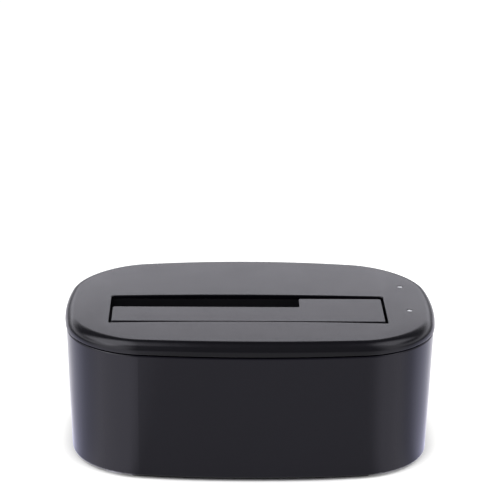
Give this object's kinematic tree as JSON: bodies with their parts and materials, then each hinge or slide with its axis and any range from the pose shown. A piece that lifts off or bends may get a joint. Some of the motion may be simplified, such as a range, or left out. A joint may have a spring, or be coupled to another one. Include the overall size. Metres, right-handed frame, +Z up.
{
  "type": "hard drive docking station",
  "caption": "Low rounded desk dock with a drafted gloss body, a crowned satin cover and an upright drive slot under a sprung L-shaped flap; ports and a rocker switch at the rear.",
  "frame": {"origin": "middle of the footprint, on the surface that the dock stands on", "axes": "+X to the right along the slot, -Y towards the front, +Z up"},
  "size_m": [0.1398, 0.093, 0.055],
  "materials": {
    "gloss_body": "polished black moulded plastic, near mirror",
    "satin_cover": "satin black moulded plastic with a fine grain, which looks grey at a flat angle",
    "flap_plastic": "satin black moulded plastic with a fine grain",
    "black_plastic": "black moulded plastic, fine spark texture",
    "foot_rubber": "black soft rubber",
    "pin_steel": "turned steel",
    "spring_steel": "drawn spring wire",
    "screw_zinc": "zinc plated",
    "board_laminate": "green solder mask over laminate",
    "socket_plastic": "black glass-filled plastic",
    "contact_gold": "gold plated",
    "contact_nickel": "nickel plated",
    "port_steel": "nickel plated steel sheet",
    "port_blue": "blue moulded plastic",
    "rocker_gloss": "polished black plastic",
    "chip_epoxy": "dull moulded epoxy",
    "ferrite": "dull grey ferrite",
    "ceramic": "fired ceramic, tan",
    "capacitor_can": "bright drawn can",
    "led_resin": "white and clear resin",
    "pipe_clear": "clear acrylic with a frosted end"
  },
  "bodies": {
    "housing": {"base_plate": "black_plastic", "base_screws": "screw_zinc", "board_screws": "screw_zinc", "body_shell": "gloss_body", "bridge_chip": "chip_epoxy", "capacitors": "capacitor_can", "ceramic_capacitors": "ceramic", "circuit_board": "board_laminate", "crystal": "contact_nickel", "dc_jack": "socket_plastic", "dc_jack_pin": "contact_nickel", "drive_well": "black_plastic", "flap_hinge_pins": "pin_steel", "front_foot_strip": "foot_rubber", "front_light_pipe": "pipe_clear", "inductors": "ferrite", "memory_chip": "chip_epoxy", "rear_foot_strip": "foot_rubber", "rear_light_pipe": "pipe_clear", "regulator_chips": "chip_epoxy", "sata_power_contacts": "contact_gold", "sata_receptacle": "socket_plastic", "sata_signal_contacts": "contact_gold", "status_leds": "led_resin", "switch_body": "socket_plastic", "switch_terminals": "contact_nickel", "top_cover": "satin_cover", "usb_contacts": "contact_gold", "usb_port_insert": "port_blue", "usb_port_shell": "port_steel", "well_screws": "screw_zinc"},
    "flap": {"flap": "flap_plastic", "flap_springs": "spring_steel"},
    "rocker": {"switch_rocker": "rocker_gloss"}
  },
  "joints": [
    {"name": "flap_hinge", "type": "hinge", "parent": "housing", "child": "flap", "pos_m": [-0.00095, -0.0271, 0.0505], "axis": [-1, 0, 0], "range_deg": [0, 90], "stiffness_Nm_per_rad": 0.004, "springref_deg": -51.57},
    {"name": "rocker_pivot", "type": "hinge", "parent": "housing", "child": "rocker", "pos_m": [0.024, 0.0376, 0.01285], "axis": [0, 0, 1], "range_deg": [0, 14]}
  ]
}
